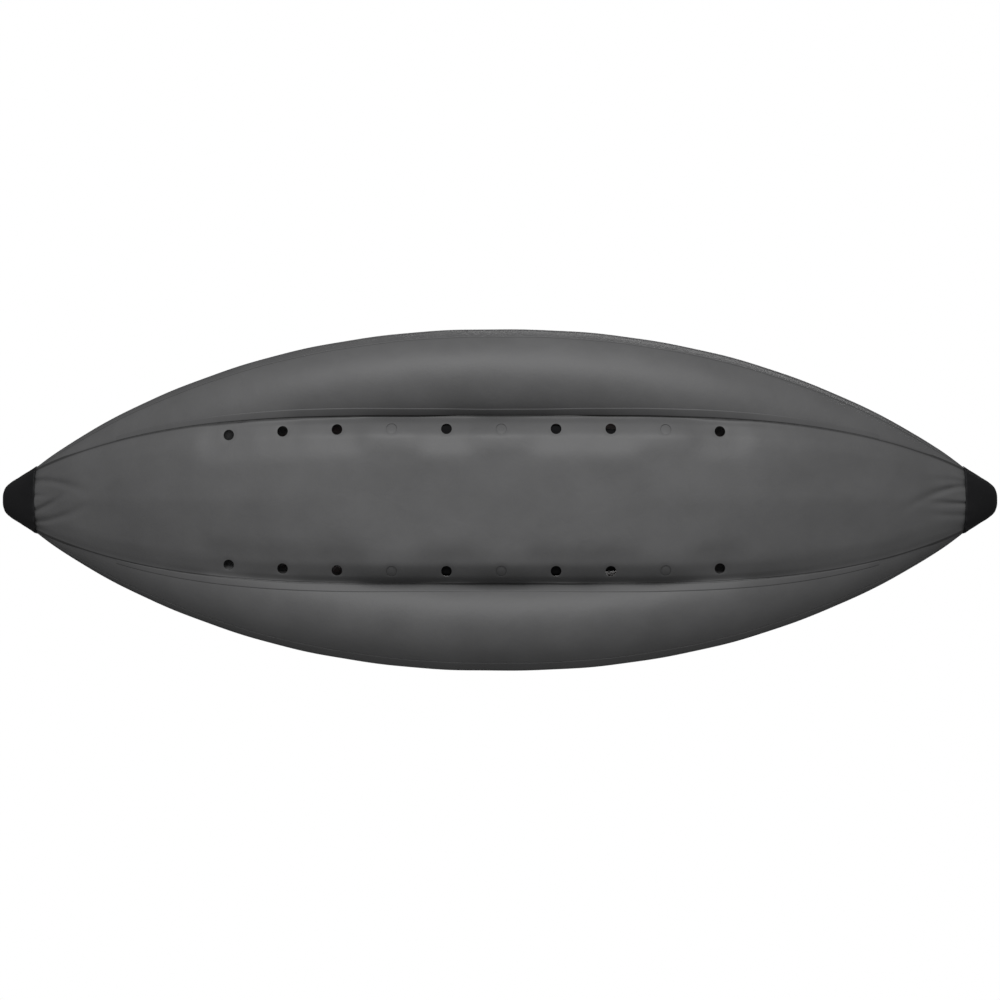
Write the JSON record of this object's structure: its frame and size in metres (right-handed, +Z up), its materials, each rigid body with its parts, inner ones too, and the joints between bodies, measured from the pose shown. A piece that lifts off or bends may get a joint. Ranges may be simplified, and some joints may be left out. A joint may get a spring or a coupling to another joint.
{
  "type": "inflatable kayak",
  "caption": "Self-bailing solo inflatable kayak: two banana-shaped air tubes joined at capped ends, a drained floor with a drop-stitch insert, valves, handles, tie rings and a strapped seat.",
  "frame": {"origin": "under the middle of the boat, on the ground", "axes": "+X to the bow, +Y to port, +Z up"},
  "size_m": [2.9496, 0.9798, 0.5421],
  "materials": {
    "tube_fabric_grey": "satin PVC-coated polyester with a fine weave telegraphing through",
    "seam_tape_grey": "satin PVC-coated tape",
    "tube_fabric_red": "satin PVC-coated polyester",
    "bladder_film": "smooth urethane film",
    "drop_stitch_floor": "PVC-coated drop-stitch fabric",
    "cap_black": "moulded rubber, satin",
    "deck_fabric_black": "PVC-coated fabric, matte",
    "webbing_black": "woven polyester webbing",
    "zip_black": "moulded coil zip on a woven tape",
    "bright_metal": "stainless steel",
    "valve_white": "moulded nylon",
    "gasket_black": "moulded rubber",
    "poppet_orange": "moulded nylon",
    "grip_black": "ribbed moulded rubber",
    "seat_cover_black": "woven polyester over foam",
    "plastic_black": "moulded acetal"
  },
  "bodies": {
    "hull": {"port_tube_lower_panel": "tube_fabric_grey", "port_tube_upper_panel": "tube_fabric_red", "starboard_tube_lower_panel": "tube_fabric_grey", "starboard_tube_upper_panel": "tube_fabric_red", "port_tube_bladder": "bladder_film", "starboard_tube_bladder": "bladder_film", "floor_bottom_skin": "tube_fabric_grey", "floor_insert": "drop_stitch_floor", "floor_tabs": "tube_fabric_grey", "bow_cap": "cap_black", "stern_cap": "cap_black", "bow_deck": "deck_fabric_black", "stern_deck": "deck_fabric_black", "port_rub_strake": "seam_tape_grey", "starboard_rub_strake": "seam_tape_grey", "port_floor_tape": "seam_tape_grey", "starboard_floor_tape": "seam_tape_grey", "port_zip": "zip_black", "starboard_zip": "zip_black", "valve_bases": "valve_white", "valve_gaskets": "gasket_black", "port_valve_body": "valve_white", "starboard_valve_body": "valve_white", "floor_valve_body": "valve_white", "port_valve_spring": "bright_metal", "starboard_valve_spring": "bright_metal", "floor_valve_spring": "bright_metal", "bow_handle_anchor": "deck_fabric_black", "stern_handle_anchor": "deck_fabric_black", "d_ring_patches": "deck_fabric_black", "port_middle_d_ring": "bright_metal", "starboard_middle_d_ring": "bright_metal", "seat_base": "seat_cover_black", "seat_hinge": "webbing_black", "port_seat_strap": "webbing_black", "starboard_seat_strap": "webbing_black", "strap_hooks": "plastic_black"},
    "seat_back": {"seat_back": "seat_cover_black", "seat_back_buckles": "plastic_black"},
    "port_valve_cap": {"port_valve_cap": "valve_white"},
    "port_valve_poppet": {"port_valve_poppet": "poppet_orange"},
    "starboard_valve_cap": {"starboard_valve_cap": "valve_white"},
    "starboard_valve_poppet": {"starboard_valve_poppet": "poppet_orange"},
    "floor_valve_cap": {"floor_valve_cap": "valve_white"},
    "floor_valve_poppet": {"floor_valve_poppet": "poppet_orange"},
    "port_zip_slider": {"port_zip_slider": "bright_metal"},
    "starboard_zip_slider": {"starboard_zip_slider": "bright_metal"},
    "bow_handle": {"bow_handle_webbing": "webbing_black", "bow_handle_grip": "grip_black"},
    "stern_handle": {"stern_handle_webbing": "webbing_black", "stern_handle_grip": "grip_black"},
    "port_fore_d_ring": {"port_fore_d_ring": "bright_metal"},
    "starboard_fore_d_ring": {"starboard_fore_d_ring": "bright_metal"},
    "port_aft_d_ring": {"port_aft_d_ring": "bright_metal"},
    "starboard_aft_d_ring": {"starboard_aft_d_ring": "bright_metal"},
    "bow_d_ring": {"bow_d_ring": "bright_metal"},
    "stern_d_ring": {"stern_d_ring": "bright_metal"}
  },
  "joints": [
    {"name": "seat_back_fold", "type": "hinge", "parent": "hull", "child": "seat_back", "pos_m": [-0.313, 0, 0.1547], "axis": [0, 1, 0], "range_deg": [0, 70], "deforming": ["port_seat_strap", "starboard_seat_strap"]},
    {"name": "port_valve_cap_hinge", "type": "hinge", "parent": "hull", "child": "port_valve_cap", "pos_m": [-0.95217, 0.1441, 0.37628], "axis": [0.1578, -0.8769, -0.454], "range_deg": [0, 110]},
    {"name": "port_valve_poppet_slide", "type": "slide", "parent": "hull", "child": "port_valve_poppet", "axis": [-0.251, 0.4091, -0.8773], "range_m": [0, 0.005], "stiffness_N_per_m": 400, "springref_m": -0.002, "deforming": ["port_valve_spring"]},
    {"name": "starboard_valve_cap_hinge", "type": "hinge", "parent": "hull", "child": "starboard_valve_cap", "pos_m": [-0.95217, -0.1441, 0.37628], "axis": [-0.1578, -0.8769, 0.454], "range_deg": [0, 110]},
    {"name": "starboard_valve_poppet_slide", "type": "slide", "parent": "hull", "child": "starboard_valve_poppet", "axis": [-0.251, -0.4091, -0.8773], "range_m": [0, 0.005], "stiffness_N_per_m": 400, "springref_m": -0.002, "deforming": ["starboard_valve_spring"]},
    {"name": "floor_valve_cap_hinge", "type": "hinge", "parent": "hull", "child": "floor_valve_cap", "pos_m": [-0.79543, 0, 0.16879], "axis": [0, -1, 0], "range_deg": [0, 110]},
    {"name": "floor_valve_poppet_slide", "type": "slide", "parent": "hull", "child": "floor_valve_poppet", "axis": [-0.1817, 0, -0.9834], "range_m": [0, 0.005], "stiffness_N_per_m": 400, "springref_m": -0.002, "deforming": ["floor_valve_spring"]},
    {"name": "port_zip_run", "type": "hinge", "parent": "hull", "child": "port_zip_slider", "pos_m": [0, -2.0485, 1.03511], "axis": [0, 0.3122, 0.95], "range_deg": [0, 7.6]},
    {"name": "starboard_zip_run", "type": "hinge", "parent": "hull", "child": "starboard_zip_slider", "pos_m": [0, 2.0485, 1.03511], "axis": [0, 0.3122, -0.95], "range_deg": [0, 7.6]},
    {"name": "bow_handle_swing", "type": "hinge", "parent": "hull", "child": "bow_handle", "pos_m": [1.3033, 0, 0.45048], "axis": [0, 1, 0], "range_deg": [0, 130]},
    {"name": "stern_handle_swing", "type": "hinge", "parent": "hull", "child": "stern_handle", "pos_m": [-1.3033, 0, 0.45048], "axis": [0, -1, 0], "range_deg": [0, 130]},
    {"name": "port_fore_d_ring_swing", "type": "hinge", "parent": "hull", "child": "port_fore_d_ring", "pos_m": [0.75894, 0.20702, 0.34494], "axis": [-0.1651, -0.9153, -0.3675], "range_deg": [0, 156]},
    {"name": "starboard_fore_d_ring_swing", "type": "hinge", "parent": "hull", "child": "starboard_fore_d_ring", "pos_m": [0.75894, -0.20702, 0.34494], "axis": [0.1651, -0.9153, 0.3675], "range_deg": [0, 156]},
    {"name": "port_aft_d_ring_swing", "type": "hinge", "parent": "hull", "child": "port_aft_d_ring", "pos_m": [-0.69903, 0.22037, 0.33788], "axis": [0.1564, -0.9182, -0.3639], "range_deg": [0, 156]},
    {"name": "starboard_aft_d_ring_swing", "type": "hinge", "parent": "hull", "child": "starboard_aft_d_ring", "pos_m": [-0.69903, -0.22037, 0.33788], "axis": [-0.1564, -0.9182, 0.3639], "range_deg": [0, 156]},
    {"name": "bow_d_ring_swing", "type": "hinge", "parent": "hull", "child": "bow_d_ring", "pos_m": [1.20892, 0, 0.42806], "axis": [0, -1, 0], "range_deg": [0, 156]},
    {"name": "stern_d_ring_swing", "type": "hinge", "parent": "hull", "child": "stern_d_ring", "pos_m": [-1.20892, 0, 0.42806], "axis": [0, 1, 0], "range_deg": [0, 156]}
  ]
}
